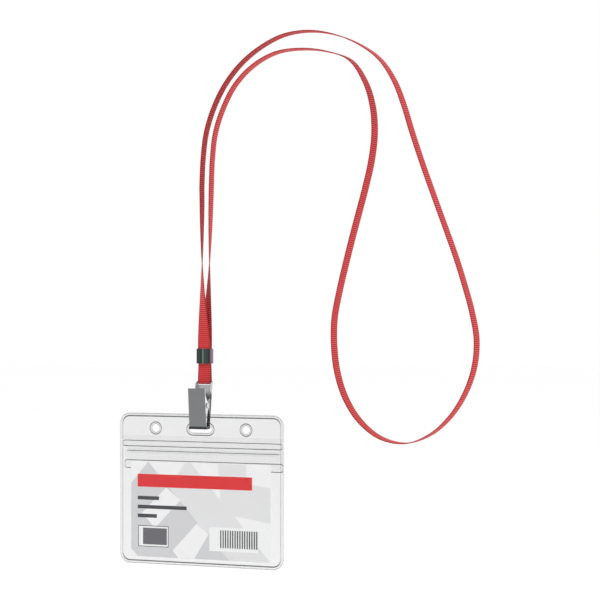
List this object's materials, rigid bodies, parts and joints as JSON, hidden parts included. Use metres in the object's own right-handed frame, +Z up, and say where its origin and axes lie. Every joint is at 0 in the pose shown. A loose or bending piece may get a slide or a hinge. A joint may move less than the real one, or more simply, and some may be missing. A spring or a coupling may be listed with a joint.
{
  "type": "lanyard badge holder",
  "caption": "Clear zip-top pocket for a card, hung by its slot from a sprung clip on a woven ribbon neck loop.",
  "frame": {"origin": "under the ribbon at the top of the neck loop, where a neck or a hook carries it", "axes": "+Z up, -Y the front of the pocket, +X along the pocket's long side"},
  "size_m": [0.2201, 0.0188, 0.3193],
  "materials": {
    "ribbon": "cross-ribbed weave",
    "ferrule_metal": "dark polished plating",
    "clip_metal": "satin nickel plating",
    "pin_metal": "satin",
    "spring_steel": "drawn wire",
    "clear_vinyl": "clear, smooth",
    "zip_vinyl": "clear, smooth",
    "card": "matt printed"
  },
  "bodies": {
    "strap": {"neck_strap": "ribbon", "clip_loop_strap": "ribbon", "crimp_ferrule": "ferrule_metal"},
    "clip": {"clip_rear_jaw": "clip_metal", "clip_pin": "pin_metal", "clip_spring": "spring_steel"},
    "lever": {"clip_lever": "clip_metal"},
    "holder": {"pocket_front_sheet": "clear_vinyl", "header_back_strip": "clear_vinyl", "pocket_back_sheet": "clear_vinyl", "zip_channel_strip": "zip_vinyl"},
    "flap": {"closing_flap": "clear_vinyl", "zip_rib_strip": "zip_vinyl"},
    "card": {"insert_card": "card"}
  },
  "joints": [
    {"name": "clip_swing", "type": "hinge", "parent": "strap", "child": "clip", "pos_m": [-0.0664, 0, -0.1973], "axis": [1, 0, 0], "range_deg": [-60, 60]},
    {"name": "jaw_open", "type": "hinge", "parent": "clip", "child": "lever", "pos_m": [-0.0664, -0.0099, -0.2112], "axis": [-1, 0, 0], "range_deg": [0, 25], "stiffness_Nm_per_rad": 0.06, "springref_deg": -28.65, "deforming": ["clip_spring"]},
    {"name": "holder_swing", "type": "hinge", "parent": "clip", "child": "holder", "pos_m": [-0.0664, -0.0064, -0.22345], "axis": [1, 0, 0], "range_deg": [-4, 14]},
    {"name": "flap_open", "type": "hinge", "parent": "holder", "child": "flap", "pos_m": [-0.0664, -0.00495, -0.2303], "axis": [1, 0, 0], "range_deg": [0, 90], "stiffness_Nm_per_rad": 0.0004},
    {"name": "card_slide", "type": "slide", "parent": "holder", "child": "card", "axis": [0, 0, 1], "range_m": [-0.0018, 0.012]}
  ]
}
